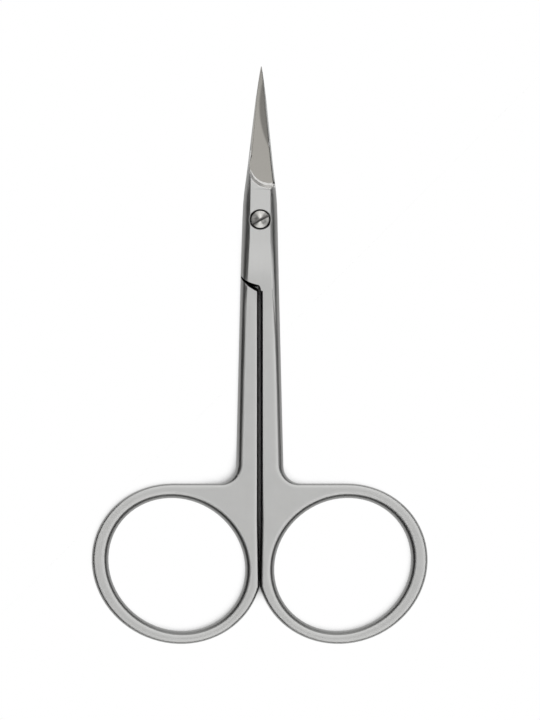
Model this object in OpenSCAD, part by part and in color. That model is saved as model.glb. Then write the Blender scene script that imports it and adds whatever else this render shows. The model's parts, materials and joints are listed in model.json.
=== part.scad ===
// Curved cuticle scissors: two forged halves that cross at one slotted pivot screw.
// The scissors lie flat on the finger rings and shanks, closed, with the tips curving up.
// X runs across, Y along the length towards the tips, Z up. The origin is the middle of the
// bounding box in plan, on the surface that the scissors lie on.

/* [Overall] */
// Length in plan, from the ring bottoms to the tips
overall_length = 92.2; // [86:0.2:104]
// Thickness of the forging at the rings and shanks
forging = 2.8; // [2.4:0.1:3.2]

/* [Finger rings] */
// Long outer diameter of a finger ring
ring_length = 27.48; // [26.6:0.02:28.4]
// Short outer diameter of a finger ring
ring_width = 25.42; // [24.6:0.02:26.2]
// Turn of the ring's long diameter, in degrees
ring_turn = 20; // [10:1:30]
// Long diameter of the finger hole
hole_length = 22.46; // [21:0.02:23.2]
// Short diameter of the finger hole
hole_width = 20.68; // [19.4:0.02:21.4]
// Turn of the finger hole's long diameter, in degrees
hole_turn = 35; // [20:1:45]
// Distance of the ring's middle from the centre line
ring_offset = 13.27; // [13:0.01:13.6]
// Width of the rounded band inside the finger hole
hole_band = 0.7; // [0.3:0.05:0.9]
// Width of the rounded band round the outside of the ring
rim_band = 0.25; // [0.1:0.05:0.5]
// Clearance between the two rings when the scissors are closed
stop_gap = 0.1; // [0.06:0.02:0.3]

/* [Shanks] */
// Half width of the closed pair at the rings
shank_root = 3.86; // [3.5:0.02:4.2]
// Half width of the closed pair just under the joint
shank_neck = 3.05; // [2.9:0.02:3.3]
// Gap between the two shanks
shank_gap = 0.4; // [0.3:0.02:0.7]
// Width of the bevel on the inner edges of the shanks
inner_bevel = 0.26; // [0.1:0.02:0.4]
// Depth of the bevel on the inner edges of the shanks
inner_bevel_depth = 0.8; // [0.3:0.05:1]
// Width of the rounded band along the outer side of a shank
shank_band = 0.8; // [0.4:0.05:1]
// Width of the rounded band along the outer side of the joint
joint_band = 1.3; // [0.9:0.05:1.4]
// Radius of the fillet between shank and ring
crotch_radius = 2.8; // [1.6:0.1:3]

/* [Joint] */
// Distance in plan from the pivot to the tips
pivot_to_tip = 23.8; // [23:0.1:26]
// Half width of the closed pair at the pivot
joint_half = 2.82; // [2.7:0.02:3]
// Thickness of one half at the pivot
joint_layer = 1.5; // [1.35:0.05:1.8]
// Tilt of the joint against the rings, in degrees
joint_tilt = 20; // [10:1:24]
// Radius of the bend between shank and joint
neck_bend = 24; // [20:0.5:26]
// Radius round the pivot in which the sliding faces are flat
flat_radius = 3.5; // [3.3:0.1:4]
// Gap between the sliding faces
slide_gap = 0.05; // [0.03:0.01:0.1]
// Distance from the pivot to the inner end of the joint plate
plate_end = 10.7; // [10.3:0.1:11.1]
// Slack between the joint plate's end and the shoulder
shoulder_slack = 1.2; // [0.8:0.1:1.6]

/* [Blades] */
// Radius of the blades' upward curve
blade_bend = 90; // [60:5:200]
// Half width of the closed pair where the blades start
blade_root_half = 2.57; // [2.4:0.02:2.7]
// Thickness of a blade's spine at its root
spine_root = 1; // [0.8:0.05:1.1]
// Thickness of a blade at the tip
spine_tip = 0.28; // [0.2:0.02:0.4]
// Thickness behind the cutting edge at the root
edge_root = 0.45; // [0.3:0.05:0.6]
// How far a cutting edge stays inside the other blade's spine
edge_inset = 0.2; // [0.1:0.02:0.3]
// Radius of the grinding step at the blade's root
grind_radius = 3.5; // [3:0.1:4]
// Spread of the grinding step's wall for each millimetre of its height
grind_spread = 0.45; // [0.2:0.05:0.6]
// Distance from the pivot to the lowest point of the grinding step
grind_start = 5.4; // [5.1:0.1:6.2]

/* [Pivot screw] */
// Diameter of the screw's shaft
screw_d = 2; // [1.6:0.1:2.2]
// Diameter of the screw's head
head_d = 3; // [2.8:0.05:3.2]
// Height of the head above its seat, at the rim
head_rim = 0.58; // [0.4:0.02:0.7]
// Rise of the domed head above its rim
head_dome = 0.14; // [0.06:0.02:0.2]
// Radial gap between the head and its recess
head_gap = 0.16; // [0.1:0.02:0.25]
// Radial play of the shaft in the moving half
bore_play = 0.05; // [0.02:0.01:0.1]
// Width of the screwdriver slot
slot_w = 0.42; // [0.3:0.02:0.6]
// Depth of the screwdriver slot
slot_depth = 0.34; // [0.2:0.02:0.45]
// Turn of the screwdriver slot, in degrees
slot_turn = 29; // [0:1:180]

/* [Hidden] */
steel = "#bcbcba";
bright_steel = "#d2d0cb";
far = 60;
tip_half = 0.05;
mid_z = forging / 2;
tip_y = overall_length / 2;
pivot_y = tip_y - pivot_to_tip;
half_extent_y = norm([ring_length / 2 * sin(ring_turn), ring_width / 2 * cos(ring_turn)]);
ring_y = half_extent_y - overall_length / 2;
ring_top_y = ring_y + half_extent_y;

// The middle surface in side view: flat shanks, an arc up to the joint, a straight joint,
// and a longer arc along the blades.
flat_run = flat_radius * cos(joint_tilt);
neck_run = neck_bend * sin(joint_tilt);
neck_y = pivot_y - flat_run - neck_run;
joint_start_y = pivot_y - flat_run;
blade_start_y = pivot_y + flat_run;
joint_start_z = mid_z + neck_bend * (1 - cos(joint_tilt));
pivot_z = joint_start_z + flat_radius * sin(joint_tilt);
blade_start_z = pivot_z + flat_radius * sin(joint_tilt);

function slope(y) = y < neck_y ? 0
    : y < joint_start_y ? asin((y - neck_y) / neck_bend)
    : y < blade_start_y ? joint_tilt
    : asin(sin(joint_tilt) + (y - blade_start_y) / blade_bend);
function mid_height(y) = y < neck_y ? mid_z
    : y < joint_start_y ? mid_z + neck_bend * (1 - cos(slope(y)))
    : y < blade_start_y ? joint_start_z + (y - joint_start_y) * tan(joint_tilt)
    : blade_start_z + blade_bend * (cos(joint_tilt) - cos(slope(y)));

// Lean of a section against the upright. The last bit of the tips is cut square in plan.
function lean(y) = slope(y) * min(1, (tip_y - y) / 2);

// A point at x across and d above the middle surface, at station y. Side is 1 for the front
// half and -1 for the back half, which is the same forging turned over.
function on_path(x, d, y, side) = [
    side * x,
    y - side * d * sin(lean(y)),
    mid_height(y) + side * d * cos(lean(y))
];

// Sizes of the closed pair along the length.
plate_end_y = pivot_y - 9.5;
widest_y = pivot_y - 0.5;
upper_joint_y = pivot_y + 2;
upper_joint_half = (joint_half + blade_root_half) / 2 + 0.02;
joint_top_y = pivot_y + 3.7;
root_y = pivot_y + 8.4;
taper_y = tip_y - 5.1;
taper_half = 0.83;
point_y = tip_y - 1.6;
point_half = 0.34;
root_trim = 0.04;
root_half = blade_root_half - root_trim
    + (taper_half - blade_root_half) * (root_y - joint_top_y) / (taper_y - joint_top_y);
function half_width(y) = lookup(y, [
    [ring_top_y, shank_root], [plate_end_y, shank_neck], [widest_y, joint_half],
    [upper_joint_y, upper_joint_half], [joint_top_y, blade_root_half], [root_y, root_half],
    [taper_y, taper_half], [point_y, point_half], [tip_y, tip_half]]);
function half_thickness(y) = lookup(y, [
    [plate_end_y, mid_z], [pivot_y, joint_layer], [pivot_y + 5, joint_layer - 0.08],
    [tip_y, spine_tip + 0.02]]);

// The rounded side band of a section leaves the flat face at its station's slope, in degrees,
// and is upright at mid height. It is crisp at the rings and soft at the joint. Each of its
// steps is [inset, height], with the inset as a part of the band's width and the height as a
// part of the half thickness.
crisp_slope = 30;
soft_slope = 6;
band_steps = 4;
function band_width(y) = lookup(y, [
    [0, shank_band], [plate_end_y, joint_band - 0.1], [pivot_y, joint_band],
    [joint_top_y, joint_band - 0.3], [root_y, 0.42], [tip_y, tip_half * 0.6]]);
function band_slope(y) = lookup(y, [
    [-8, crisp_slope], [plate_end_y - 4, soft_slope + 8], [plate_end_y, soft_slope],
    [joint_top_y, soft_slope], [root_y, crisp_slope]]);
function band_step(k, slope) = let (a = 90 - (90 - slope) * abs(k) / band_steps)
    [(1 - sin(a)) / (1 - sin(slope)), -sign(k) * cos(a) / cos(slope)];
band_levels = [-band_steps:band_steps];

function stations(from, to, steps) = [for (k = [0:steps]) from + (to - from) * k / steps];
function bezier(a, b, c, steps) = [for (k = [0:steps]) let (t = k / steps)
    a * (1 - t) * (1 - t) + b * 2 * t * (1 - t) + c * t * t];

// The faces of a skin over rings of n points each, without its ends.
function skin(n, rings) = [for (i = [0:rings - 2], k = [0:n - 1]) each [
    [i * n + k, (i + 1) * n + k, (i + 1) * n + (k + 1) % n],
    [i * n + k, (i + 1) * n + (k + 1) % n, i * n + (k + 1) % n]]];

// A closed skin over a list of rings of points, with flat ends.
module loft(rings) {
    n = len(rings[0]);
    last = (len(rings) - 1) * n;
    ends = [[for (k = [0:n - 1]) k], [for (k = [n - 1:-1:0]) last + k]];
    polyhedron(points = [for (r = rings) each r], faces = concat(skin(n, len(rings)), ends),
        convexity = 6);
}

// Puts its children in the joint's own frame: origin at the pivot, Z along the screw.
module at_pivot() {
    translate([0, pivot_y, pivot_z]) rotate([joint_tilt, 0, 0]) children();
}

// Plan of a forging before it is cut to its half: from the tip down the outer side, through
// the fillet, along the straight top of the ring, round the ring, and back up the other side.
// Each point is [x, y, outward normal, width of the side band].
arm_y = concat([tip_y], stations(tip_y - 1, taper_y, 3), stations(taper_y - 2, root_y + 1, 5),
    stations(root_y, joint_top_y, 4), [upper_joint_y, widest_y],
    stations(joint_start_y, neck_y, 9), [3, -3, ring_top_y + crotch_radius]);
function arm_side(s, y) = [s * half_width(y), y, [s, 0], band_width(y)];
fillet_x = half_width(ring_top_y + crotch_radius) + crotch_radius;
fillet = [for (a = [189:9:261]) let (v = [cos(a), sin(a)])
    [fillet_x + crotch_radius * v[0], ring_top_y + crotch_radius * (1 + v[1]), -v,
        shank_band + (rim_band - shank_band) * (a - 180) / 90]];
ring_a = ring_length / 2;
ring_b = ring_width / 2;
crown_turn = atan2(ring_b * cos(ring_turn), ring_a * sin(ring_turn));
inner_turn = -180 - atan2(ring_b * sin(ring_turn), ring_a * cos(ring_turn));
function turned(v, a) = [v[0] * cos(a) - v[1] * sin(a), v[0] * sin(a) + v[1] * cos(a)];
ring = [for (t = stations(crown_turn, inner_turn, 60)) let (
    p = turned([ring_a * cos(t), ring_b * sin(t)], ring_turn),
    v = turned([ring_b * cos(t), ring_a * sin(t)], ring_turn))
    [ring_offset + p[0], ring_y + p[1], v / norm(v), rim_band]];
outline = concat([for (y = arm_y) arm_side(1, y)], fillet,
    [[fillet_x, ring_top_y, [0, 1], rim_band]], ring,
    [for (k = [len(arm_y) - 1:-1:0]) arm_side(-1, arm_y[k])]);

// The forging's skin: the plan in layers from the upper to the lower face, bent along the path.
module blank(side) {
    n = len(outline);
    arm = len(arm_y) - 1;
    last = 2 * band_steps * n;
    upper = concat([[for (k = [arm:n - 1 - arm]) k]],
        [for (k = [0:arm - 1]) [k, k + 1, n - 2 - k, n - 1 - k]]);
    lower = [for (f = upper) [for (k = [len(f) - 1:-1:0]) last + f[k]]];
    polyhedron(
        points = [for (k = band_levels, o = outline) let (b = band_step(k, band_slope(o[1])))
            on_path(o[0] - o[2][0] * o[3] * b[0], b[1] * half_thickness(o[1]),
                o[1] - o[2][1] * o[3] * b[0], side)],
        faces = concat(skin(n, 2 * band_steps + 1), upper, lower), convexity = 8);
}

// The finger hole, flared past both faces so that its wall is a rounded band.
module finger_hole(side) {
    half = hole_length / 2;
    wall = [for (k = band_levels) let (b = band_step(k, crisp_slope))
        [half + b[0] * hole_band, b[1] * mid_z]];
    step = wall[0] - wall[1];
    translate([side * ring_offset, ring_y - 0.12, mid_z]) rotate([0, 0, side * hole_turn])
        scale([1, hole_width / hole_length, 1])
            rotate_extrude($fn = 72)
                polygon(concat([[0, wall[0][1] + step[1]], wall[0] + step], wall,
                    [[wall[0][0] + step[0], -wall[0][1] - step[1]], [0, -wall[0][1] - step[1]]]));
}

// Everything on the other layer's side of the sliding face. The face is flat round the pivot
// and turns up in an arc towards the shanks, and in a longer one along the blades. Each side
// is a surface of revolution, so the halves slide over each other at every angle.
slide_depth = 12;
slide_step = 5;
neck_reach = flat_radius + neck_run;
slide_reach = pivot_to_tip + 8;
slide_radii = concat(stations(flat_radius, neck_reach, 8),
    stations(neck_reach + 1.5, slide_reach, 12));
function arc_rise(r, bend) = bend - sqrt(bend * bend - pow(r - flat_radius, 2));
function slide_z(r, t) = sin(t) > 0 ? arc_rise(r, blade_bend)
    : arc_rise(min(r, neck_reach), neck_bend) + max(0, r - neck_reach) * tan(joint_tilt);
module slide_room(side) {
    rings = len(slide_radii);
    loft([for (i = [0:rings]) let (r = slide_radii[min(i, rings - 1)])
        [for (k = [0:360 / slide_step - 1]) let (t = (k - i / 2) * slide_step)
            [-side * r * cos(t), r * sin(t),
                i < rings ? slide_z(r, t) + side * slide_gap / 2 : -side * slide_depth]]]);
}

// The lower edge of a joint plate, its corner at the gap between the shanks, and the shoulder
// under it: the start, control and end point of each curve, measured from the plate's end.
wall_x = shank_gap / 2;
edge_curve = [[-3.4, 1.3], [-1.9, 0.3], [-0.35, 0]];
corner_curve = [[-0.35, 0], [wall_x - 0.05, -0.1], [wall_x, -1.1]];
shoulder_curve = [[3.4, 1.2], [2, -0.4], [0, -shoulder_slack]];
shank_room_end = [wall_x - 0.05, -3];

// A plan in the joint's frame, given by points measured from the plate's end, as a room that
// goes through everything.
module room(side, points) {
    linear_extrude(height = 2 * far, center = true)
        polygon([for (p = points) [side * p[0], p[1] - plate_end]]);
}

// The plan of the other half's joint plate and blade, with room at the shoulder.
module plate_room(side) {
    room(side, concat(bezier(shoulder_curve[0], shoulder_curve[1], shoulder_curve[2], 8),
        [[-far, -shoulder_slack], [-far, far], [far, far], [far, shoulder_curve[0][1]]]));
}

// The plan of the other half's shank, up to the end of this half's joint plate.
module shank_room(side) {
    room(side, concat([[-far, edge_curve[0][1]]],
        bezier(edge_curve[0], edge_curve[1], edge_curve[2], 8),
        bezier(corner_curve[0], corner_curve[1], corner_curve[2], 6),
        [shank_room_end, [-far, shank_room_end[1]]]));
}

// The other half's side of the centre line, with the bevels of the inner edges. It is closer
// up to stop_end, where the two rings stop against each other, and is at the shanks' gap from
// gap_start on. The bevels go on past both faces.
stop_end = ring_y - 2.5;
gap_start = ring_y + 7;
bevel_reach = 4;
module centre_room(side) {
    foot = mid_z - inner_bevel_depth;
    top = foot + bevel_reach * inner_bevel_depth;
    ends = [[ring_y - ring_length, stop_gap / 2], [stop_end, stop_gap / 2],
        [gap_start, wall_x], [pivot_y - plate_end - shoulder_slack, wall_x]];
    loft([for (e = ends) let (top_x = e[1] + bevel_reach * inner_bevel)
        [for (p = [[-far, top], [top_x, top], [e[1], foot], [e[1], -foot], [top_x, -top],
            [-far, -top]]) [side * p[0], e[0], mid_z + side * p[1]]]]);
}

// What the grinding wheel takes off a blade: a face that thins towards the cutting edge and
// ends in a round step at the root. The step's wall is part of a cone, and the rest of the room
// stays grind_lap behind it.
edge_bevel = 0.18;
grind_lap = 0.3;
grind_x = 1.7;
cone_low = -1;
cone_high = 4;
module grind_room(side) {
    centre = [grind_x, grind_start + grind_radius];
    foot = grind_radius - grind_lap;
    at_pivot() {
        linear_extrude(height = 2 * far, center = true)
            polygon([for (p = concat([for (a = [180:6:270]) centre + foot * [cos(a), sin(a)]],
                [[far, grind_start + grind_lap], [far, far], [-tip_half, pivot_to_tip + 6]]))
                [side * p[0], p[1]]]);
        translate([side * centre[0], centre[1], 0]) rotate([0, 90 - side * 90, 3])
            translate([0, 0, cone_low]) cylinder(h = cone_high - cone_low,
                r1 = grind_radius + (cone_low - spine_root) * grind_spread,
                r2 = grind_radius + (cone_high - spine_root) * grind_spread, $fn = 60);
    }
}
module ground_face(side) {
    loft([for (y = stations(pivot_y + 3, tip_y + 2, 16)) let (
        t = max(0, (y - root_y) / (tip_y - root_y)),
        half = half_width(y),
        spine = spine_root + (spine_tip - spine_root) * t,
        edge = edge_root + (spine_tip * 0.4 - edge_root) * t,
        cut_x = half - edge_inset * min(1, half),
        bevel = edge_bevel * min(1, half))
        [for (p = [[-half - 2, 6], [half + 6, 6], [half + 6, -2.4], [cut_x + bevel + 0.1, -2.4],
            [cut_x + bevel, -edge], [cut_x - bevel, edge], [-half - 2, spine]])
            on_path(p[0], p[1], y, side)]]);
}

// One forging without its bore. The last step holds it at its length in plan.
module forged_half(side) {
    resize([0, overall_length, 0]) difference() {
        blank(side);
        finger_hole(side);
        centre_room(side);
        at_pivot() {
            shank_room(side);
            intersection() {
                plate_room(side);
                slide_room(side);
            }
        }
        intersection() {
            grind_room(side);
            ground_face(side);
        }
    }
}

seat_z = joint_layer - head_rim - 0.06;
module front_half() color(steel) difference() {
    forged_half(1);
    at_pivot() {
        cylinder(d = screw_d + 2 * bore_play, h = far, center = true, $fn = 64);
        translate([0, 0, seat_z]) cylinder(d = head_d + 2 * head_gap, h = far, $fn = 64);
        translate([0, 0, joint_layer - 0.12])
            cylinder(d1 = head_d + 2 * head_gap, d2 = head_d + 2 * head_gap + 4, h = 2, $fn = 64);
    }
}

thread_play = 0.02;
module back_half() color(steel) difference() {
    forged_half(-1);
    at_pivot() cylinder(d = screw_d + 2 * thread_play, h = far, center = true, $fn = 64);
}

module pivot_screw() color(bright_steel) at_pivot() {
    head_r = head_d / 2;
    shaft_r = screw_d / 2;
    base = seat_z + 0.02;
    rim = seat_z + head_rim;
    dome_r = (head_r * head_r + head_dome * head_dome) / (2 * head_dome);
    bottom = -joint_layer + 0.05;
    difference() {
        rotate_extrude($fn = 64) polygon(concat(
            [[0, bottom], [shaft_r - 0.15, bottom], [shaft_r, bottom + 0.15], [shaft_r, base],
                [head_r, base], [head_r, rim - 0.06]],
            [for (k = [10:-1:1]) let (x = (head_r - 0.05) * k / 10)
                [x, rim + head_dome - dome_r + sqrt(dome_r * dome_r - x * x)]],
            [[0, rim + head_dome]]));
        rotate([0, 0, slot_turn]) translate([0, 0, rim + head_dome - slot_depth + 1])
            cube([head_d + 2, slot_w, 2], center = true);
    }
}

back_half();
front_half();
pivot_screw();
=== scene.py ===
"""Looks and stage for the curved cuticle scissors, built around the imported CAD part."""

import json
import math

import bmesh
import bpy
from mathutils import Matrix, Vector


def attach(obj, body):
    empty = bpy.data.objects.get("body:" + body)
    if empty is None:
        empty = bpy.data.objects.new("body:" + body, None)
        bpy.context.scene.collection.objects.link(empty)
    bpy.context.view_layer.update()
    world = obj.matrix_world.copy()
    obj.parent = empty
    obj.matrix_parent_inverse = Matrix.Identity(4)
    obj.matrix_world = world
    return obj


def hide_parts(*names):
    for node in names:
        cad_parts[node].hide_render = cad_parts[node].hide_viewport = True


bl_info = {
    "name": "Cuticle scissors looks",
    "version": (1, 0, 0),
    "blender": (4, 5, 0),
    "location": "View3D > Sidebar > Scissors",
    "description": "Finished pieces, steel finishes and a pale studio for the cuticle scissors",
    "category": "Object",
}

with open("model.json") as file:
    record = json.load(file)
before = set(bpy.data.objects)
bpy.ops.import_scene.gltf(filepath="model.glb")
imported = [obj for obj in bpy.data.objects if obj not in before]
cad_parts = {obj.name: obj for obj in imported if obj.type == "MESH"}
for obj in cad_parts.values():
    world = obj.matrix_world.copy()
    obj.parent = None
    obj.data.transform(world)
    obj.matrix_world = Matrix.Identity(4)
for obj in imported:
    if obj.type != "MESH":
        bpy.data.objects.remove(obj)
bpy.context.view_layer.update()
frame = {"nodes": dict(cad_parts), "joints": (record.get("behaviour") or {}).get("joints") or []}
HINGE = frame["joints"][0]
PIVOT = Vector(HINGE["pos_m"])
AXIS = Vector(HINGE["axis"]).normalized()
# Each forging's node, the body it rides on, and the side of the joint plane it lies on.
HALVES = {"front_half": ("front", 1), "back_half": ("back", -1)}
MM = 0.001
# Points closer than MERGE are one point, and heights closer than HAIR are one level.
MERGE = 0.0002 * MM
HAIR = 0.001 * MM
CUT_TOLERANCE = 0.0001 * MM


# Settings


class ScissorsSizes(bpy.types.PropertyGroup):
    """Sizes of the finished pieces that a user would change."""

    edge_round: bpy.props.FloatProperty(
        name="Edge rounding", description="Width of the softened edges of the forgings",
        default=0.04 * MM, min=0.01 * MM, max=0.08 * MM, precision=5, unit="LENGTH")
    head_radius: bpy.props.FloatProperty(
        name="Screw head", description="Radius of the screw's head",
        default=1.5 * MM, precision=5, unit="LENGTH")
    shaft_radius: bpy.props.FloatProperty(
        name="Screw shaft", description="Radius of the screw's shaft",
        default=1.0 * MM, precision=5, unit="LENGTH")
    head_seat: bpy.props.FloatProperty(
        name="Head seat", description="Height of the head's lower face above the pivot",
        default=0.88 * MM, precision=5, unit="LENGTH")
    head_rim: bpy.props.FloatProperty(
        name="Head rim", description="Height of the head's rim above the pivot",
        default=1.44 * MM, precision=5, unit="LENGTH")
    head_dome: bpy.props.FloatProperty(
        name="Head dome", description="Rise of the head's dome above its rim",
        default=0.14 * MM, precision=5, unit="LENGTH")
    head_round: bpy.props.FloatProperty(
        name="Head rounding", description="Radius of the rounded rim of the screw's head",
        default=0.13 * MM, precision=5, unit="LENGTH")
    shaft_end: bpy.props.FloatProperty(
        name="Shaft end", description="Depth of the shaft's end below the pivot",
        default=1.45 * MM, precision=5, unit="LENGTH")
    slot_width: bpy.props.FloatProperty(
        name="Slot width", description="Width of the screwdriver slot",
        default=0.42 * MM, precision=5, unit="LENGTH")
    slot_depth: bpy.props.FloatProperty(
        name="Slot depth", description="Depth of the screwdriver slot",
        default=0.34 * MM, precision=5, unit="LENGTH")
    slot_turn: bpy.props.FloatProperty(
        name="Slot turn", description="Turn of the screwdriver slot",
        default=math.radians(29), subtype="ANGLE")


class ScissorsFinish(bpy.types.PropertyGroup):
    """Colours and roughness of the steel finishes."""

    satin_colour: bpy.props.FloatVectorProperty(
        name="Satin steel", description="Colour of the blasted steel faces",
        default=(0.64, 0.64, 0.63), size=3, min=0, max=1, subtype="COLOR")
    # Painted shade: the tumbled sides are painted darker than the broad satin faces.
    side_shade_colour: bpy.props.FloatVectorProperty(
        name="Shaded side steel", description="Colour of the tumbled sides of rings and shanks",
        default=(0.30, 0.30, 0.295), size=3, min=0, max=1, subtype="COLOR")
    ground_colour: bpy.props.FloatVectorProperty(
        name="Ground steel", description="Colour of the ground blades",
        default=(0.375, 0.362, 0.335), size=3, min=0, max=1, subtype="COLOR")
    slide_colour: bpy.props.FloatVectorProperty(
        name="Sliding faces", description="Colour of the rubbed faces between the halves",
        default=(0.55, 0.55, 0.54), size=3, min=0, max=1, subtype="COLOR")
    # Painted highlight: the polished hollow is pale and only partly metal, so it stays bright as a
    # highlight.
    step_highlight_colour: bpy.props.FloatVectorProperty(
        name="Polished step highlight", description="Colour of the polished hollow at the blades' root",
        default=(0.86, 0.85, 0.83), size=3, min=0, max=1, subtype="COLOR")
    # Painted shade: the inside of the slot is painted darker than the screw.
    slot_shade_colour: bpy.props.FloatVectorProperty(
        name="Shaded slot steel", description="Colour inside the screwdriver slot",
        default=(0.20, 0.195, 0.19), size=3, min=0, max=1, subtype="COLOR")
    screw_colour: bpy.props.FloatVectorProperty(
        name="Screw steel", description="Colour of the turned screw",
        default=(0.40, 0.395, 0.38), size=3, min=0, max=1, subtype="COLOR")
    satin_roughness: bpy.props.FloatProperty(
        name="Satin roughness", description="Roughness of the blasted steel",
        default=0.36, min=0, max=1, subtype="FACTOR")
    ground_roughness: bpy.props.FloatProperty(
        name="Ground roughness", description="Roughness of the ground blades",
        default=0.16, min=0, max=1, subtype="FACTOR")
    screw_roughness: bpy.props.FloatProperty(
        name="Screw roughness", description="Roughness of the screw",
        default=0.2, min=0, max=1, subtype="FACTOR")


# Mesh helpers


def new_piece(name, bm):
    """Makes an object from bm, without the normals that came with a CAD copy, and frees bm."""
    mesh = bpy.data.meshes.new(name)
    bm.to_mesh(mesh)
    bm.free()
    for spare in [a.name for a in mesh.attributes if a.name == "custom_normal"]:
        mesh.attributes.remove(mesh.attributes[spare])
    piece = bpy.data.objects.new(name, mesh)
    bpy.context.scene.collection.objects.link(piece)
    return piece


def joint_frame():
    """Matrix from the joint's own frame, with Z along the screw, to the part's frame."""
    across = Vector((1, 0, 0))
    along = AXIS.cross(across)
    turn = Matrix((across, along, AXIS)).transposed().to_4x4()
    return Matrix.Translation(PIVOT) @ turn


JOINT = joint_frame()
INTO_JOINT = JOINT.inverted()


def cut_across(bm, y):
    """Cuts the whole mesh by the plane at height y along the scissors."""
    bmesh.ops.bisect_plane(bm, geom=bm.verts[:] + bm.edges[:] + bm.faces[:], dist=CUT_TOLERANCE,
                           plane_co=(0, y, 0), plane_no=(0, 1, 0))


def even_normals(piece):
    """Lets the large faces decide the shading, so flat faces stay flat beside their bevels."""
    even = piece.modifiers.new("Even normals", "WEIGHTED_NORMAL")
    even.keep_sharp = True


def dihedral(edge):
    """Angle between an edge's two faces, or 0 for an open edge."""
    return edge.calc_face_angle(0.0) if len(edge.link_faces) == 2 else 0.0


# Steel finishes

# The finishes of a forging and of the screw, in the order of their material slots.
FORGED_FINISHES = ("Satin steel", "Shaded side steel", "Ground steel", "Rubbed steel", "Polished step highlight")
SATIN, SIDE, GROUND, RUBBED, POLISHED_HIGHLIGHT = range(5)
SCREW_FINISHES = ("Turned steel", "Shaded slot steel")
# The shaded slot steel's place among the screw's finishes.
SLOT = 1
# What each texture group puts out.
TEXTURE_OUTPUTS = [("Tone", "NodeSocketFloat"), ("Roughness", "NodeSocketFloat"),
                   ("Height", "NodeSocketFloat")]
# Noise scales, in features per metre.
PIT_SCALE = 9000
CLOUD_SCALE = 260
PATCH_SCALE = 900
LINE_STRETCH = (500, 9000, 4000)
BROAD_LINE_STRETCH = (150, 900, 500)
WEAR_SCALE = 1500
TARNISH_SCALE = 1100
# Radians per metre of the lathe's grooves.
GROOVE_PITCH = 70000
# Painted shade: how much darker the screw is on its left, and lighter on its right, per metre.
LEFT_SHADE_SLOPE = 150
# How far a point of the screw's head lies lengthways, 0 to 1, where a painted highlight fan starts
# and where it is full, and the tone between the fans.
PAINTED_FAN_START = 0.70
PAINTED_FAN_FULL = 0.97
SCREW_TONE = 0.70
# Height of the relief, and how fast a bent edge counts as worn.
RELIEF_DEPTH = 0.01 * MM
EDGE_SHARPNESS = 6.0
# Where the second grinding of the blade starts: a parabola in plan, in metres.
SECOND_GRIND = {"Low point": 0.04, "Inset": -0.00025, "Bend": 35.2, "Softness": 0.00022}


class NodeSheet:
    """Adds and links nodes in one node tree."""

    def __init__(self, tree):
        self.tree = tree
        self.column = 0

    def add(self, kind, **settings):
        """A new node to the right of the last, with settings for its properties."""
        node = self.tree.nodes.new(kind)
        self.column += 1
        node.location = (self.column * 190, -(self.column % 3) * 160)
        for key, value in settings.items():
            setattr(node, key, value)
        return node

    def link(self, source, target):
        """Links an output socket to an input socket."""
        self.tree.links.new(source, target)


def new_group(name, inputs, outputs):
    """A shader node group with float inputs {name: default} and outputs [(name, socket type)]."""
    tree = bpy.data.node_groups.new(name, "ShaderNodeTree")
    for key, default in inputs.items():
        socket = tree.interface.new_socket(key, in_out="INPUT", socket_type="NodeSocketFloat")
        socket.default_value = default
    for key, kind in outputs:
        tree.interface.new_socket(key, in_out="OUTPUT", socket_type=kind)
    sheet = NodeSheet(tree)
    return tree, sheet, sheet.add("NodeGroupInput"), sheet.add("NodeGroupOutput")


def math_node(sheet, operation, a, b=None, clamp=False):
    """A Math node; a and b are sockets or numbers."""
    node = sheet.add("ShaderNodeMath", operation=operation, use_clamp=clamp)
    for slot, value in enumerate((a, b)):
        if value is None:
            continue
        if hasattr(value, "is_output"):
            sheet.link(value, node.inputs[slot])
        else:
            node.inputs[slot].default_value = value
    return node.outputs[0]


def noise_node(sheet, place, scale, detail=2.0, stretch=None):
    """3-D noise in metres; stretch is a scale for each axis."""
    if stretch:
        mapping = sheet.add("ShaderNodeMapping")
        mapping.inputs["Scale"].default_value = stretch
        sheet.link(place, mapping.inputs["Vector"])
        place = mapping.outputs["Vector"]
    noise = sheet.add("ShaderNodeTexNoise", noise_dimensions="3D")
    noise.inputs["Scale"].default_value = scale
    noise.inputs["Detail"].default_value = detail
    sheet.link(place, noise.inputs["Vector"])
    return noise.outputs["Fac"]


def make_blasted_grain():
    """Fine pits of a blasted surface with slow patches of tone and gloss."""
    tree, sheet, given, out = new_group(
        "Blasted grain",
        {"Tone spread": 0.05, "Gloss spread": 0.06, "Roughness": 0.35, "Pit height": 0.5},
        TEXTURE_OUTPUTS)
    place = sheet.add("ShaderNodeTexCoord").outputs["Object"]
    pits = noise_node(sheet, place, PIT_SCALE, 3)
    clouds = noise_node(sheet, place, CLOUD_SCALE, 4)
    patches = noise_node(sheet, place, PATCH_SCALE, 3)
    both = math_node(sheet, "ADD", math_node(sheet, "MULTIPLY", clouds, 0.6),
                     math_node(sheet, "MULTIPLY", patches, 0.4))
    centred = math_node(sheet, "SUBTRACT", both, 0.5)
    fine = math_node(sheet, "SUBTRACT", pits, 0.5)
    tone = math_node(sheet, "ADD", math_node(sheet, "MULTIPLY", centred, given.outputs["Tone spread"]),
                     math_node(sheet, "MULTIPLY", fine, 0.05))
    sheet.link(math_node(sheet, "ADD", tone, 1.0), out.inputs["Tone"])
    gloss = math_node(sheet, "MULTIPLY", centred, given.outputs["Gloss spread"])
    sheet.link(math_node(sheet, "ADD", gloss, given.outputs["Roughness"]), out.inputs["Roughness"])
    sheet.link(math_node(sheet, "MULTIPLY", pits, given.outputs["Pit height"]), out.inputs["Height"])
    return tree


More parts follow.
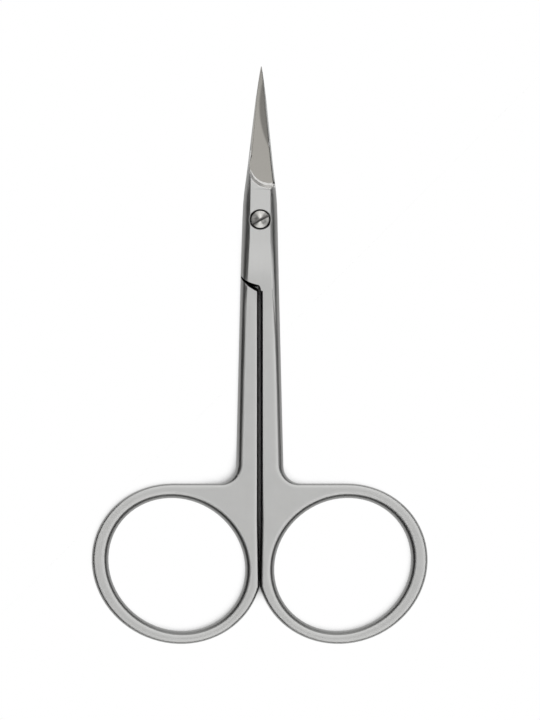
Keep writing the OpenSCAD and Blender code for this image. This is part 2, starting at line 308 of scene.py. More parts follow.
def make_grinding_lines():
    """Fine lines that a wheel leaves across a blade."""
    tree, sheet, given, out = new_group(
        "Grinding lines",
        {"Tone spread": 0.08, "Roughness": 0.2, "Line height": 0.3},
        TEXTURE_OUTPUTS)
    place = sheet.add("ShaderNodeTexCoord").outputs["Object"]
    lines = noise_node(sheet, place, 1, 4, stretch=LINE_STRETCH)
    broad = noise_node(sheet, place, 1, 2, stretch=BROAD_LINE_STRETCH)
    mixed = math_node(sheet, "ADD", math_node(sheet, "MULTIPLY", lines, 0.5),
                      math_node(sheet, "MULTIPLY", broad, 0.5))
    centred = math_node(sheet, "SUBTRACT", mixed, 0.5)
    tone = math_node(sheet, "MULTIPLY", centred, given.outputs["Tone spread"])
    sheet.link(math_node(sheet, "ADD", tone, 1.0), out.inputs["Tone"])
    gloss = math_node(sheet, "MULTIPLY", centred, 0.12)
    sheet.link(math_node(sheet, "ADD", gloss, given.outputs["Roughness"]), out.inputs["Roughness"])
    sheet.link(math_node(sheet, "MULTIPLY", lines, given.outputs["Line height"]), out.inputs["Height"])
    return tree


def make_edge_wear():
    """A mask that is 1 along convex and concave edges, broken up by noise."""
    tree, sheet, given, out = new_group(
        "Edge wear", {"Radius": 0.0001, "Sharpness": 6.0},
        [("Mask", "NodeSocketFloat"), ("Normal", "NodeSocketVector")])
    rounded = sheet.add("ShaderNodeBevel", samples=8)
    sheet.link(given.outputs["Radius"], rounded.inputs["Radius"])
    flat = sheet.add("ShaderNodeNewGeometry")
    match = sheet.add("ShaderNodeVectorMath", operation="DOT_PRODUCT")
    sheet.link(rounded.outputs["Normal"], match.inputs[0])
    sheet.link(flat.outputs["Normal"], match.inputs[1])
    bend = math_node(sheet, "SUBTRACT", 1.0, match.outputs["Value"])
    strong = math_node(sheet, "MULTIPLY", bend, given.outputs["Sharpness"], clamp=True)
    place = sheet.add("ShaderNodeTexCoord").outputs["Object"]
    breaks = math_node(sheet, "ADD", noise_node(sheet, place, WEAR_SCALE, 3), 0.35)
    sheet.link(math_node(sheet, "MULTIPLY", strong, breaks), out.inputs["Mask"])
    sheet.link(rounded.outputs["Normal"], out.inputs["Normal"])
    return tree


def make_cavity_shade():
    """A mask that falls from 1 in the open to 0 deep in a narrow gap, which paints shade into a base
    colour.
    """
    tree, sheet, given, out = new_group(
        "Cavity shade", {"Reach": 0.0016, "Black below": 0.1, "Open above": 0.5},
        [("Mask", "NodeSocketFloat")])
    shade = sheet.add("ShaderNodeAmbientOcclusion", samples=12)
    sheet.link(given.outputs["Reach"], shade.inputs["Distance"])
    ramp = sheet.add("ShaderNodeMapRange", interpolation_type="SMOOTHSTEP")
    sheet.link(shade.outputs["AO"], ramp.inputs["Value"])
    sheet.link(given.outputs["Black below"], ramp.inputs["From Min"])
    sheet.link(given.outputs["Open above"], ramp.inputs["From Max"])
    sheet.link(ramp.outputs["Result"], out.inputs["Mask"])
    return tree


def make_second_grind():
    """A mask of the finer grinding along the cutting edge, near the tips."""
    tree, sheet, given, out = new_group("Second grind", SECOND_GRIND, [("Mask", "NodeSocketFloat")])
    place = sheet.add("ShaderNodeSeparateXYZ")
    sheet.link(sheet.add("ShaderNodeTexCoord").outputs["Object"], place.inputs["Vector"])
    facing = sheet.add("ShaderNodeSeparateXYZ")
    sheet.link(sheet.add("ShaderNodeNewGeometry").outputs["True Normal"], facing.inputs["Vector"])
    across = math_node(sheet, "MULTIPLY", place.outputs["X"],
                       math_node(sheet, "SIGN", facing.outputs["Z"]))
    along = math_node(sheet, "SUBTRACT", place.outputs["Y"], given.outputs["Low point"])
    curve = math_node(sheet, "MULTIPLY", math_node(sheet, "MULTIPLY", along, along),
                      given.outputs["Bend"])
    border = math_node(sheet, "ADD", curve, given.outputs["Inset"])
    past = math_node(sheet, "SUBTRACT", across, border)
    ramp = sheet.add("ShaderNodeMapRange", interpolation_type="SMOOTHSTEP")
    sheet.link(past, ramp.inputs["Value"])
    sheet.link(math_node(sheet, "MULTIPLY", given.outputs["Softness"], -1.0), ramp.inputs["From Min"])
    sheet.link(given.outputs["Softness"], ramp.inputs["From Max"])
    sheet.link(ramp.outputs["Result"], out.inputs["Mask"])
    return tree


def make_turning_marks_and_highlights():
    """Lathe rings round the screw's axis, two painted highlight fans, painted shade and a few tarnish
    patches.
    """
    tree, sheet, given, out = new_group(
        "Turning marks and painted highlights",
        {"Tone spread": 0.3, "Roughness": 0.2, "Groove height": 1.0, "Painted highlight": 1.1},
        TEXTURE_OUTPUTS)
    place = sheet.add("ShaderNodeTexCoord").outputs["Object"]
    moved = sheet.add("ShaderNodeVectorMath", operation="SUBTRACT")
    moved.inputs[1].default_value = PIVOT
    sheet.link(place, moved.inputs[0])
    along = sheet.add("ShaderNodeVectorMath", operation="DOT_PRODUCT")
    along.inputs[1].default_value = AXIS
    sheet.link(moved.outputs["Vector"], along.inputs[0])
    axial = sheet.add("ShaderNodeVectorMath", operation="SCALE")
    axial.inputs[0].default_value = AXIS
    sheet.link(along.outputs["Value"], axial.inputs["Scale"])
    across = sheet.add("ShaderNodeVectorMath", operation="SUBTRACT")
    sheet.link(moved.outputs["Vector"], across.inputs[0])
    sheet.link(axial.outputs["Vector"], across.inputs[1])
    radius = sheet.add("ShaderNodeVectorMath", operation="LENGTH")
    sheet.link(across.outputs["Vector"], radius.inputs[0])
    turns = math_node(sheet, "MULTIPLY", radius.outputs["Value"], GROOVE_PITCH)
    grooves = math_node(sheet, "SINE", turns)
    patches = noise_node(sheet, place, TARNISH_SCALE, 2)
    centred = math_node(sheet, "SUBTRACT", patches, 0.5)
    tone = math_node(sheet, "MULTIPLY", centred, given.outputs["Tone spread"])
    split = sheet.add("ShaderNodeSeparateXYZ")
    sheet.link(across.outputs["Vector"], split.inputs["Vector"])
    # Painted shade: darker to the left of the screw, lighter to the right.
    left_shade = math_node(sheet, "MULTIPLY", split.outputs["X"], LEFT_SHADE_SLOPE)
    lengthways = math_node(sheet, "ABSOLUTE",
                           math_node(sheet, "DIVIDE", split.outputs["Y"], radius.outputs["Value"]))
    highlight_fan = sheet.add("ShaderNodeMapRange", interpolation_type="SMOOTHSTEP")
    sheet.link(lengthways, highlight_fan.inputs["Value"])
    highlight_fan.inputs["From Min"].default_value = PAINTED_FAN_START
    highlight_fan.inputs["From Max"].default_value = PAINTED_FAN_FULL
    # Painted highlight: two bright fans lengthways across the head.
    painted_highlight = math_node(sheet, "MULTIPLY", highlight_fan.outputs["Result"], given.outputs["Painted highlight"])
    plain = math_node(sheet, "ADD", math_node(sheet, "ADD", tone, left_shade), SCREW_TONE)
    sheet.link(math_node(sheet, "ADD", plain, painted_highlight), out.inputs["Tone"])
    gloss = math_node(sheet, "MULTIPLY", centred, 0.2)
    sheet.link(math_node(sheet, "ADD", gloss, given.outputs["Roughness"]), out.inputs["Roughness"])
    height = math_node(sheet, "MULTIPLY", grooves, given.outputs["Groove height"])
    sheet.link(height, out.inputs["Height"])
    return tree


def place_group(sheet, tree, **values):
    """Adds a node for a group, with values for its inputs; _ stands for a blank in a name."""
    node = sheet.add("ShaderNodeGroup", node_tree=tree)
    for key, value in values.items():
        node.inputs[key.replace("_", " ")].default_value = value
    return node


def steel(name, groups, colour, roughness, texture, texture_values, wear, bump,
          round_edge=0.06 * MM, black_below=0.1, open_above=0.5, painted_reflection_tone=None,
          metal=1.0):
    """A steel finish: one texture group for tone, roughness and height, and worn edges.

    wear is how much lighter a worn edge is, bump the strength of the relief, round_edge the
    radius over which edges are shaded round, black_below and open_above the open shares of sky
    at which the painted shade makes a gap black and leaves a face clear, and painted_reflection_tone
    the darker tone painted on the finer grinding near the tips, as a painted reflection.
    """
    material = bpy.data.materials.new(name)
    material.use_nodes = True
    tree = material.node_tree
    tree.nodes.clear()
    sheet = NodeSheet(tree)
    surface = sheet.add("ShaderNodeBsdfPrincipled")
    surface.inputs["Metallic"].default_value = metal
    grain = place_group(sheet, groups[texture], Roughness=roughness, **texture_values)
    edges = place_group(sheet, groups["edge"], Radius=round_edge,
                        Sharpness=EDGE_SHARPNESS)
    base = sheet.add("ShaderNodeRGB")
    base.outputs[0].default_value = (*colour, 1)
    toned = sheet.add("ShaderNodeVectorMath", operation="SCALE")
    sheet.link(base.outputs[0], toned.inputs[0])
    sheet.link(grain.outputs["Tone"], toned.inputs["Scale"])
    bright = math_node(sheet, "ADD", math_node(sheet, "MULTIPLY", edges.outputs["Mask"], wear), 1.0)
    # Painted shade: the base colour is darkened deep in narrow gaps and recesses.
    cavity = place_group(sheet, groups["cavity"], Black_below=black_below, Open_above=open_above)
    bright = math_node(sheet, "MULTIPLY", bright, cavity.outputs["Mask"])
    # Painted reflection: the finer-ground facet near the tips gets a darker base colour, standing in
    # for the dark surroundings it reflects.
    if painted_reflection_tone is not None:
        second = place_group(sheet, groups["second"])
        change = math_node(sheet, "MULTIPLY", second.outputs["Mask"], painted_reflection_tone - 1)
        bright = math_node(sheet, "MULTIPLY", bright, math_node(sheet, "ADD", change, 1.0))
    worn = sheet.add("ShaderNodeVectorMath", operation="SCALE")
    sheet.link(toned.outputs["Vector"], worn.inputs[0])
    sheet.link(bright, worn.inputs["Scale"])
    sheet.link(worn.outputs["Vector"], surface.inputs["Base Color"])
    polish = math_node(sheet, "MULTIPLY", edges.outputs["Mask"], -0.1)
    sheet.link(math_node(sheet, "ADD", grain.outputs["Roughness"], polish, clamp=True),
               surface.inputs["Roughness"])
    relief = sheet.add("ShaderNodeBump")
    relief.inputs["Strength"].default_value = bump
    relief.inputs["Distance"].default_value = RELIEF_DEPTH
    sheet.link(grain.outputs["Height"], relief.inputs["Height"])
    sheet.link(edges.outputs["Normal"], relief.inputs["Normal"])
    sheet.link(relief.outputs["Normal"], surface.inputs["Normal"])
    output = sheet.add("ShaderNodeOutputMaterial")
    sheet.link(surface.outputs["BSDF"], output.inputs["Surface"])
    return material


def steel_finishes():
    """The finishes of this pair, made once."""
    if FORGED_FINISHES[0] in bpy.data.materials:
        return {key: bpy.data.materials[key] for key in FORGED_FINISHES + SCREW_FINISHES}
    f = bpy.context.scene.scissors_finish
    groups = {"grain": make_blasted_grain(), "lines": make_grinding_lines(),
              "edge": make_edge_wear(), "cavity": make_cavity_shade(),
              "turning": make_turning_marks_and_highlights(), "second": make_second_grind()}
    blasted = {"Tone_spread": 0.10, "Gloss_spread": 0.08, "Pit_height": 0.5}
    ground = {"Tone_spread": 0.10, "Line_height": 0.3}
    return {
        "Satin steel": steel("Satin steel", groups, f.satin_colour, f.satin_roughness,
                             "grain", blasted, 0.25, 0.12),
        # Painted shade: the sides of rings and shanks are a darker copy of the satin steel.
        "Shaded side steel": steel("Shaded side steel", groups, f.side_shade_colour, f.satin_roughness + 0.04,
                            "grain", blasted, 0.2, 0.15),
        # Ground blades, with the finer-ground facet near the tips painted darker as its reflection.
        "Ground steel": steel("Ground steel", groups, f.ground_colour, f.ground_roughness,
                              "lines", ground, 0.35, 0.1, painted_reflection_tone=0.56),
        # Painted shade: the sliding faces darken strongly wherever the other half partly covers them.
        "Rubbed steel": steel("Rubbed steel", groups, f.slide_colour, 0.22,
                              "lines", ground, 0.2, 0.03, black_below=0.35, open_above=0.9),
        # Painted highlight: pale, partly non-metal steel without cavity shade keeps the step's
        # crescent bright.
        "Polished step highlight": steel("Polished step highlight", groups, f.step_highlight_colour, 0.14,
                               "grain", blasted, 0.0, 0.03, black_below=-1.0, open_above=-0.5,
                               metal=0.4),
        # Painted shade: the slot's floor and walls are darker than the rest of the screw.
        "Shaded slot steel": steel("Shaded slot steel", groups, f.slot_shade_colour, 0.4, "grain", blasted, 0.1, 0.1,
                            0.02 * MM),
        "Turned steel": steel("Turned steel", groups, f.screw_colour, f.screw_roughness,
                              "turning", {"Tone_spread": 1.8, "Groove_height": 0.25},
                              0.3, 0.12, 0.03 * MM),
    }


# The two halves

# The sliding faces are flat round the screw, and bend up to the blades and down to the shanks.
FLAT_RADIUS = 3.5 * MM
NECK_BEND = 24 * MM
BLADE_BEND = 90 * MM
SLIDE_TOLERANCE = 0.12 * MM
NECK_START = -11.5 * MM
BLADE_START = 5 * MM
# The grinding wheel's reach, in the plan of the joint's frame: a round end and a slanting edge.
GRIND_CENTRE = (1.7 * MM, 8.9 * MM)
GRIND_RADIUS = 3.5 * MM
GRIND_SLANT = 1.75 / 20.5
# The curved wall at the wheel's round end, its polished stretch with a painted highlight, and the tilt
# of its face.
STEP_REACH = 0.6 * MM
STEP_END = 8.0 * MM
STEP_TILT = (0.38, 0.45)
STEP_FOOT_BEVEL = 0.24
STEP_TOP_BEVEL = 0.10
# Widths in mm and slopes in degrees of the strips that crown a broad face, from its edge inwards.
CROWN = ((0.16, 24), (0.18, 11), (0.26, 5))
CROWN_END = 8 * MM
CROWN_FADE = 6 * MM
# Where the shanks end and the rings begin, and half the thickness of a forging.
SHANK_END = -19 * MM
HALF_THICKNESS = 1.4 * MM
# Shares of a face's normal: a sliding face looks away from its own side, a ground one towards
# it, and a broad face is upright while its share is above BROAD_SHARE.
SLIDE_SHARE = -0.6
GROUND_SHARE = 0.3
BROAD_SHARE = 0.86
# Behind this place broad faces are judged in the part's frame, ahead of it in the joint's.
SHANK_START = -10 * MM
# A flat face has an upright share above the first and a sideways share below the second.
FLAT_UPRIGHT = 0.9
FLAT_SIDEWAYS = 0.25
# Angles in degrees from which an edge is sharp, anywhere and round a flat face.
SHARP_ANGLE = 40
FLAT_RIM_ANGLE = 17
# Faces that turn less than this, in degrees, are one flat face.
FLAT_ANGLE = 0.3


def sliding_height(p):
    """Height of the sliding face in the joint's frame, at a point of that frame."""
    out = max(0.0, math.hypot(p.x, p.y) - FLAT_RADIUS)
    bend = BLADE_BEND if p.y > 0 else NECK_BEND
    return bend - math.sqrt(max(0.0, bend * bend - out * out))


def on_ground_face(p, side):
    """True where the grinding wheel has been, in the plan of the joint's frame."""
    x, y = p.x * side - GRIND_CENTRE[0], p.y - GRIND_CENTRE[1]
    if y < -GRIND_RADIUS:
        return False
    if x > 0:
        return True
    if y < 0:
        return math.hypot(x, y) < GRIND_RADIUS
    return x > -GRIND_RADIUS + y * GRIND_SLANT


def lies_level(face):
    """True for a horizontal face, even a sliver that has no proper normal."""
    heights = [v.co.z for v in face.verts]
    return max(heights) - min(heights) < HAIR


def near_step(p, side):
    """True close to the curved wall that the grinding wheel leaves at the blade's root."""
    from_centre = math.hypot(p.x * side - GRIND_CENTRE[0], p.y - GRIND_CENTRE[1])
    return abs(from_centre - GRIND_RADIUS) < STEP_REACH


def face_finish(face, side):
    """Index of a face's finish, from its place and from the way it faces."""
    middle = face.calc_center_median()
    if middle.y < CROWN_END and lies_level(face):
        return SATIN
    p = INTO_JOINT @ middle
    n = INTO_JOINT.to_3x3() @ face.normal
    on_slide = p.y > BLADE_START or abs(p.z - sliding_height(p)) < SLIDE_TOLERANCE
    if n.z * side < SLIDE_SHARE and p.y > NECK_START and on_slide:
        return RUBBED
    if STEP_TILT[0] < n.z * side < STEP_TILT[1] and near_step(p, side):
        return POLISHED_HIGHLIGHT if p.y < STEP_END else SATIN
    if n.z * side > GROUND_SHARE and on_ground_face(p, side):
        return GROUND
    # Faces turned sideways get the darker side finish, which paints their shade.
    upright = abs(face.normal.z) if p.y < SHANK_START else abs(n.z)
    return SIDE if upright < BROAD_SHARE else SATIN


def is_broad(face):
    """True for the broad upper and lower faces of rings and shanks."""
    return (face.material_index == SATIN and lies_level(face)
            and all(v.co.y < CROWN_END + HAIR for v in face.verts))


def crown_share(point):
    """1 on the rings and shanks, falling to 0 towards the joint."""
    return min(1.0, max(0.0, (CROWN_END - point.y) / CROWN_FADE))


def is_upper(face):
    """True for a level face of the upper side of a forging."""
    return face.verts[0].co.z > HALF_THICKNESS


def refill_level(bm, faces, upward):
    """Fills the level middle of a crowned face anew, because insets fold its slivers."""
    inside = set(faces)
    border = [e for e in bm.edges if sum(f in inside for f in e.link_faces) == 1]
    bmesh.ops.delete(bm, geom=faces, context="FACES")
    made = bmesh.ops.triangle_fill(bm, use_beauty=True, edges=border, normal=(0, 0, upward))["geom"]
    for face in [g for g in made if isinstance(g, bmesh.types.BMFace)]:
        face.normal_update()
        face.material_index = SATIN
        if face.normal.z * upward < 0:
            face.normal_flip()


def crown_faces(bm):
    """Lowers the broad faces towards their edges, in strips of growing slope."""
    cut_across(bm, CROWN_END)
    broad = [f for f in bm.faces if is_broad(f)]
    inner = set(broad)
    loops = []
    for width, _ in CROWN:
        strip = bmesh.ops.inset_region(bm, faces=broad, thickness=width * MM, depth=0,
                                       use_even_offset=True, use_boundary=True)["faces"]
        outer = {v for f in strip for v in f.verts if not any(g in inner for g in v.link_faces)}
        ways = {v: sum((f.normal for f in v.link_faces if f in strip), Vector()) for v in outer}
        loops.append({v: way.normalized() for v, way in ways.items() if way.length > 0})
    for k, loop in enumerate(loops):
        drop = sum(w * math.tan(math.radians(a)) for w, a in CROWN[k:]) * MM
        for vert, way in loop.items():
            vert.co -= way * drop * crown_share(vert.co)
    for upward in (1, -1):
        refill_level(bm, [f for f in broad if f.is_valid and is_upper(f) == (upward > 0)], upward)
    bm.normal_update()


def step_edges(bm, side, convex):
    """The edges along the top (convex) or the foot of the grinding step's wall."""
    into = INTO_JOINT.to_3x3()
    found = []
    for edge in bm.edges:
        if len(edge.link_faces) != 2 or edge.is_convex != convex:
            continue
        p = INTO_JOINT @ ((edge.verts[0].co + edge.verts[1].co) / 2)
        if p.y > STEP_END or not near_step(p, side):
            continue
        tilts = sorted((into @ f.normal).z * side for f in edge.link_faces)
        if STEP_TILT[0] < tilts[0] < STEP_TILT[1] and tilts[1] > 0.9:
            found.append(edge)
    return found


def round_step(bm, side):
    """A polished hollow at the foot of the grinding step and a slightly rounded top, painted pale as a
    highlight.
    """
    for convex, width in ((False, STEP_FOOT_BEVEL), (True, STEP_TOP_BEVEL)):
        made = bmesh.ops.bevel(bm, geom=step_edges(bm, side, convex), offset=width * MM,
                               offset_type="OFFSET", segments=5, profile=0.5, affect="EDGES",
                               clamp_overlap=False, material=-1)["faces"]
        for face in made:
            face.material_index = POLISHED_HIGHLIGHT
        bm.normal_update()


def is_flat(face):
    """True for a nearly level satin face."""
    level = abs(face.normal.z) > FLAT_UPRIGHT and abs(face.normal.x) < FLAT_SIDEWAYS
    return level and face.material_index == SATIN


def mark_edges(bm):
    """Sharp edges for shading, and how wide each is softened."""
    weight = bm.edges.layers.float.new("bevel_weight_edge")
    for edge in bm.edges:
        angle = math.degrees(dihedral(edge))
        kinds = {f.material_index for f in edge.link_faces}
        flats = [is_flat(f) for f in edge.link_faces]
        sharp = angle > SHARP_ANGLE or (angle > FLAT_RIM_ANGLE and any(flats) and not all(flats))
        at_polish = POLISHED_HIGHLIGHT in kinds and len(kinds) > 1
        edge.smooth = not (at_polish or (sharp and POLISHED_HIGHLIGHT not in kinds))
        p = INTO_JOINT @ ((edge.verts[0].co + edge.verts[1].co) / 2)
        if sharp and p.y < BLADE_START and not kinds & {GROUND, RUBBED, POLISHED_HIGHLIGHT}:
            edge[weight] = 1.0


def join_flat_faces(bm, chosen):
    """Joins the coplanar faces between chosen vertices, so no sliver is left among them."""
    verts = [v for v in bm.verts if chosen(v)]
    edges = [e for e in bm.edges if all(chosen(v) for v in e.verts)]
    edges = [e for e in edges if not all(abs(v.co.y - SHANK_END) < HAIR for v in e.verts)]
    bmesh.ops.dissolve_limit(bm, angle_limit=math.radians(FLAT_ANGLE), verts=verts, edges=edges,
                             delimit={"MATERIAL"})


def even_faces(bm):
    """Clears the CAD mesh's slivers: whole flats on the shanks, even triangles on the rings."""
    cut_across(bm, SHANK_END)
    join_flat_faces(bm, lambda v: v.co.y > SHANK_END - HAIR)
    join_flat_faces(bm, lambda v: v.co.y < SHANK_END + HAIR)
    bmesh.ops.triangulate(bm, quad_method="BEAUTY", ngon_method="BEAUTY",
                          faces=[f for f in bm.faces if len(f.verts) > 4
                                 and f.calc_center_median().y < SHANK_END])


def finish_half(node):
    """A merged copy of a forging with crowned faces, softened edges and its finishes."""
    body, side = HALVES[node]
    bm = bmesh.new()
    bm.from_mesh(frame["nodes"][node].data)
    bmesh.ops.remove_doubles(bm, verts=bm.verts, dist=MERGE)
    bm.normal_update()
    for face in bm.faces:
        face.material_index = face_finish(face, side)
    even_faces(bm)
    round_step(bm, side)
    bm.normal_update()
    crown_faces(bm)
    mark_edges(bm)
    for face in bm.faces:
        face.smooth = True
    piece = new_piece(node + "_finished", bm)
    finishes = steel_finishes()
    for key in FORGED_FINISHES:
        piece.data.materials.append(finishes[key])
    bevel = piece.modifiers.new("Softened edges", "BEVEL")
    bevel.limit_method = "WEIGHT"
    bevel.width = bpy.context.scene.scissors_sizes.edge_round
    bevel.segments = 2
    bevel.use_clamp_overlap = False
    even_normals(piece)
    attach(piece, body)
    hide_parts(node)
    return piece


# The pivot screw

SHAFT_CHAMFER = 0.15 * MM
SLOT_ROUND = 0.035 * MM
# Edges of the screw sharper than this, in degrees, are softened.
SOFTEN_ANGLE = 30
# Steps of the head's rounded rim, of its dome, and round the screw.
RIM_STEPS = 6
DOME_STEPS = 12
TURN_STEPS = 96


def screw_profile(s):
    """(radius, height) points of the screw from its tip to the top of the dome."""
    rim = s.head_round
    flat = s.head_radius - rim
    ball = (s.head_radius ** 2 + s.head_dome ** 2) / (2 * s.head_dome)

    def dome_height(radius):
        return s.head_rim + s.head_dome - ball + math.sqrt(ball * ball - radius * radius)

    points = [(0, -s.shaft_end), (s.shaft_radius - SHAFT_CHAMFER, -s.shaft_end),
              (s.shaft_radius, -s.shaft_end + SHAFT_CHAMFER), (s.shaft_radius, s.head_seat),
              (s.head_radius, s.head_seat)]
    edge = dome_height(flat)
    for k in range(RIM_STEPS):
        turn = math.radians(90 * k / RIM_STEPS)
        points.append((flat + rim * math.cos(turn), edge - rim + rim * math.sin(turn)))
    for k in range(DOME_STEPS, -1, -1):
        radius = flat * k / DOME_STEPS
        points.append((radius, dome_height(radius)))
    return points


def turned_shape(profile, steps):
    """A bmesh of revolution about Z from (radius, height) points."""
    bm = bmesh.new()
    verts = [bm.verts.new((r, 0, z)) for r, z in profile]
    edges = [bm.edges.new(pair) for pair in zip(verts, verts[1:])]
    bmesh.ops.spin(bm, geom=verts + edges, cent=(0, 0, 0), axis=(0, 0, 1), dvec=(0, 0, 0),
                   angle=math.tau, steps=steps, use_merge=True, use_duplicate=False)
    bmesh.ops.remove_doubles(bm, verts=bm.verts, dist=HAIR)
    bmesh.ops.recalc_face_normals(bm, faces=bm.faces)
    return bm


def slot_floor(s):
    """Height of the slot's floor above the pivot."""
    return s.head_rim + s.head_dome - s.slot_depth


def slot_cutter(s):
    """A bar across the head, which the slot is cut with."""
    bm = bmesh.new()
    bmesh.ops.create_cube(bm, size=1)
    height = 1 * MM
    bmesh.ops.scale(bm, verts=bm.verts, vec=(4 * s.head_radius, s.slot_width, height))
    bmesh.ops.translate(bm, verts=bm.verts, vec=(0, 0, slot_floor(s) + height / 2))
    bmesh.ops.rotate(bm, verts=bm.verts, cent=(0, 0, 0),
                     matrix=Matrix.Rotation(s.slot_turn, 3, "Z"))
    return new_piece("slot_cutter", bm)


def cut_slot(piece, s):
    """Cuts the screwdriver slot, and returns the new mesh."""
    cutter = slot_cutter(s)
    slot = piece.modifiers.new("Slot", "BOOLEAN")
    slot.object = cutter
    slot.operation = "DIFFERENCE"
    slot.solver = "EXACT"
    shaped = bpy.data.meshes.new_from_object(
        piece.evaluated_get(bpy.context.evaluated_depsgraph_get()))
    piece.modifiers.clear()
    bpy.data.objects.remove(cutter)
    piece.data = shaped
    return shaped


def mark_slot_faces(shaped, s):
    """Gives the slot's floor and walls their own darker finish, which paints the slot's shade."""
    near = 0.01 * MM
    back_turn = Matrix.Rotation(-s.slot_turn, 3, "Z")
    for face in shaped.polygons:
        middle = back_turn @ face.center
        above = middle.z - slot_floor(s)
        wall = abs((back_turn @ face.normal).y) > 0.9
        inside = abs(middle.y) < s.slot_width / 2 + near and above > -near
        if inside and (wall or above < near):
            face.material_index = SLOT


def finish_screw():
    """The screw with its domed head and a softened slot."""
    s = bpy.context.scene.scissors_sizes
    piece = new_piece("pivot_screw_finished", turned_shape(screw_profile(s), TURN_STEPS))
    shaped = cut_slot(piece, s)
    shaped.materials.clear()
    for key in SCREW_FINISHES:
        shaped.materials.append(steel_finishes()[key])
    shaped.shade_smooth()
    mark_slot_faces(shaped, s)
    shaped.transform(JOINT)
    bevel = piece.modifiers.new("Softened edges", "BEVEL")
    bevel.limit_method = "ANGLE"
    bevel.angle_limit = math.radians(SOFTEN_ANGLE)
    bevel.width = SLOT_ROUND
    bevel.segments = 2
    even_normals(piece)
    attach(piece, "back")
    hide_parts("pivot_screw")
    return piece


# The stage

# Size of a photo pixel on the scissors, and the height of the picture.
PIXEL = 0.16 * MM
FRAME_HEIGHT = 720 * PIXEL
# The camera looks at VIEW_CENTRE from straight above, but for a small lean to the left, in metres.
VIEW_CENTRE = (1.62 * MM, -0.65 * MM)
CAMERA_HEIGHT = 3.0
CAMERA_LEAN = -0.055
# The floor, in metres, and the painted shade between the shanks: how far it looks, which way it leans,
# and the open shares of sky at which the floor is black and white.
FLOOR_SIZE = 4
FLOOR_DROP = 0.02 * MM
GAP_REACH = 6 * MM
GAP_LEAN = (0.22, -0.30, 0.93)
GAP_OPEN = (0.12, 0.52)
# The dark cards' distance in metres, and their upper edge as (azimuth, elevation) in degrees.
CARD_RADIUS = 0.6
CARD_TOPS = ((0, 34), (50, 32), (68, 6), (112, 6), (130, 46), (180, 60), (228, 57), (246, 44),
             (258, 30), (272, 24), (286, 28), (300, 38), (320, 38), (360, 34))
# The disc round the lens: radius and height in metres, and its brightness.
SHADE_RADIUS = 0.36
SHADE_HEIGHT = 1.4
SHADE_GLOW = 0.62


def floor_material():
    """A white floor that painted shade makes dark only deep between the shanks."""
    material = bpy.data.materials.new("Pale floor")
    material.use_nodes = True
    tree = material.node_tree
    tree.nodes.clear()
    sheet = NodeSheet(tree)
    shade = sheet.add("ShaderNodeAmbientOcclusion", samples=16)
    shade.inputs["Distance"].default_value = GAP_REACH
    lean = sheet.add("ShaderNodeCombineXYZ")
    for axis, value in zip("XYZ", GAP_LEAN):
        lean.inputs[axis].default_value = value
    sheet.link(lean.outputs["Vector"], shade.inputs["Normal"])
    ramp = sheet.add("ShaderNodeMapRange", interpolation_type="SMOOTHSTEP")
    ramp.inputs["From Min"].default_value = GAP_OPEN[0]
    ramp.inputs["From Max"].default_value = GAP_OPEN[1]
    sheet.link(shade.outputs["AO"], ramp.inputs["Value"])
    glow = sheet.add("ShaderNodeEmission")
    sheet.link(ramp.outputs["Result"], glow.inputs["Strength"])
    matt = sheet.add("ShaderNodeBsdfDiffuse")
    matt.inputs["Color"].default_value = (0.8, 0.8, 0.8, 1)
    path = sheet.add("ShaderNodeLightPath")
    seen = math_node(sheet, "ADD", path.outputs["Is Camera Ray"], path.outputs["Is Glossy Ray"])
    seen = math_node(sheet, "ADD", seen, path.outputs["Is Transmission Ray"], clamp=True)
    mix = sheet.add("ShaderNodeMixShader")
    sheet.link(seen, mix.inputs["Fac"])
    sheet.link(matt.outputs["BSDF"], mix.inputs[1])
    sheet.link(glow.outputs["Emission"], mix.inputs[2])
    output = sheet.add("ShaderNodeOutputMaterial")
    sheet.link(mix.outputs["Shader"], output.inputs["Surface"])
    return material


def card_material():
    """Black card that keeps reflections of the room's walls out of the steel."""
    material = bpy.data.materials.new("Dark card")
    material.use_nodes = True
    surface = material.node_tree.nodes["Principled BSDF"]
    surface.inputs["Base Color"].default_value = (0.02, 0.02, 0.02, 1)
    surface.inputs["Roughness"].default_value = 0.9
    return material


def card_top(azimuth):
    """Elevation of the cards' upper edge as seen from the scissors, in degrees."""
    for (a, low), (b, high) in zip(CARD_TOPS, CARD_TOPS[1:]):
        if a <= azimuth <= b:
            return low + (high - low) * (azimuth - a) / (b - a)
    return CARD_TOPS[0][1]


def build_cards():
    """A curtain of dark cards round the scissors, high on the left and low at the far end."""
    bm = bmesh.new()
    bmesh.ops.create_cone(bm, cap_ends=False, segments=96, radius1=CARD_RADIUS,
                          radius2=CARD_RADIUS, depth=1)
    for vert in bm.verts:
        azimuth = math.degrees(math.atan2(vert.co.y, vert.co.x)) % 360
        high = CARD_RADIUS * math.tan(math.radians(card_top(azimuth)))
        vert.co.z = high if vert.co.z > 0 else 0.002
    bmesh.ops.reverse_faces(bm, faces=bm.faces)
    cards = new_piece("dark_cards", bm)
    cards.data.materials.append(card_material())
    cards.visible_camera = False
    cards.visible_shadow = False


def build_lens_shade():
    """A grey disc round the lens, which dims what a level face reflects."""
    bm = bmesh.new()
    bmesh.ops.create_circle(bm, cap_ends=True, segments=48, radius=SHADE_RADIUS)
    bmesh.ops.reverse_faces(bm, faces=bm.faces)
    bmesh.ops.translate(bm, verts=bm.verts, vec=(0, 0, SHADE_HEIGHT))
    shade = new_piece("lens_shade", bm)
    material = bpy.data.materials.new("Grey card")
    material.use_nodes = True
    tree = material.node_tree
    tree.nodes.clear()
    sheet = NodeSheet(tree)
    glow = sheet.add("ShaderNodeEmission")
    glow.inputs["Strength"].default_value = SHADE_GLOW
    output = sheet.add("ShaderNodeOutputMaterial")
    sheet.link(glow.outputs["Emission"], output.inputs["Surface"])
    shade.data.materials.append(material)
    shade.visible_camera = False
    shade.visible_shadow = False


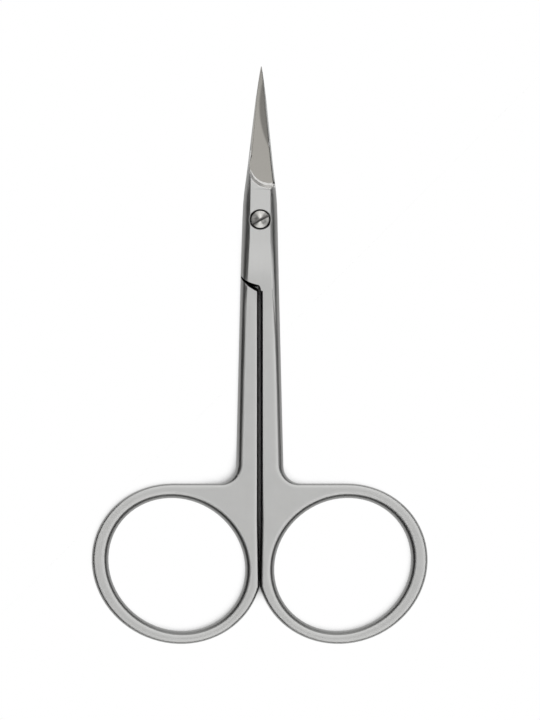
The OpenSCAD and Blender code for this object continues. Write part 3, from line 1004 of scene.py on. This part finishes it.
def build_stage():
    """Floor, cards, world and camera."""
    bm = bmesh.new()
    bmesh.ops.create_grid(bm, x_segments=1, y_segments=1, size=FLOOR_SIZE)
    bmesh.ops.translate(bm, verts=bm.verts, vec=(0, 0, -FLOOR_DROP))
    floor = new_piece("floor", bm)
    floor.data.materials.append(floor_material())
    build_cards()
    build_lens_shade()

    world = bpy.data.worlds.new("Studio")
    world.use_nodes = True
    world.node_tree.nodes["Background"].inputs["Color"].default_value = (1, 1, 1, 1)
    world.node_tree.nodes["Background"].inputs["Strength"].default_value = 1.0
    bpy.context.scene.world = world

    lens = bpy.data.cameras.new("camera")
    lens.sensor_fit = "AUTO"
    lens.sensor_width = 36
    target = Vector((*VIEW_CENTRE, 3 * MM))
    camera = bpy.data.objects.new("camera", lens)
    camera.location = target + Vector((CAMERA_LEAN, 0, CAMERA_HEIGHT))
    direction = target - camera.location
    lens.lens = lens.sensor_width * direction.length / FRAME_HEIGHT
    back = -direction.normalized()
    right = Vector((0, 1, 0)).cross(back).normalized()
    camera.rotation_euler = Matrix((right, back.cross(right), back)).transposed().to_euler()
    bpy.context.scene.collection.objects.link(camera)
    bpy.context.scene.camera = camera
    bpy.context.scene.view_settings.view_transform = "Standard"


# Operators and panel


class SCISSORS_OT_halves(bpy.types.Operator):
    """Finish the two forged halves"""

    bl_idname = "scissors.halves"
    bl_label = "Forged halves"

    def execute(self, context):
        for node in HALVES:
            finish_half(node)
        return {"FINISHED"}


class SCISSORS_OT_screw(bpy.types.Operator):
    """Finish the slotted pivot screw"""

    bl_idname = "scissors.screw"
    bl_label = "Pivot screw"

    def execute(self, context):
        finish_screw()
        return {"FINISHED"}


class SCISSORS_OT_stage(bpy.types.Operator):
    """Set up the floor, the light and the camera"""

    bl_idname = "scissors.stage"
    bl_label = "Studio stage"

    def execute(self, context):
        build_stage()
        return {"FINISHED"}


class SCISSORS_PT_panel(bpy.types.Panel):
    """Pieces, sizes and finishes of the scissors"""

    bl_idname = "SCISSORS_PT_panel"
    bl_label = "Cuticle scissors"
    bl_space_type = "VIEW_3D"
    bl_region_type = "UI"
    bl_category = "Scissors"

    def draw(self, context):
        layout = self.layout
        for operator in OPERATORS:
            layout.operator(operator.bl_idname)
        for group in (context.scene.scissors_sizes, context.scene.scissors_finish):
            column = layout.column()
            for key in group.__annotations__:
                column.prop(group, key)


OPERATORS = (SCISSORS_OT_halves, SCISSORS_OT_screw, SCISSORS_OT_stage)
CLASSES = (ScissorsSizes, ScissorsFinish, *OPERATORS, SCISSORS_PT_panel)


def register():
    for item in CLASSES:
        bpy.utils.register_class(item)
    bpy.types.Scene.scissors_sizes = bpy.props.PointerProperty(type=ScissorsSizes)
    bpy.types.Scene.scissors_finish = bpy.props.PointerProperty(type=ScissorsFinish)


def unregister():
    del bpy.types.Scene.scissors_finish
    del bpy.types.Scene.scissors_sizes
    for item in reversed(CLASSES):
        bpy.utils.unregister_class(item)


def main():
    register()
    bpy.ops.scissors.stage()
    bpy.ops.scissors.halves()
    bpy.ops.scissors.screw()


if __name__ == "__main__":
    main()
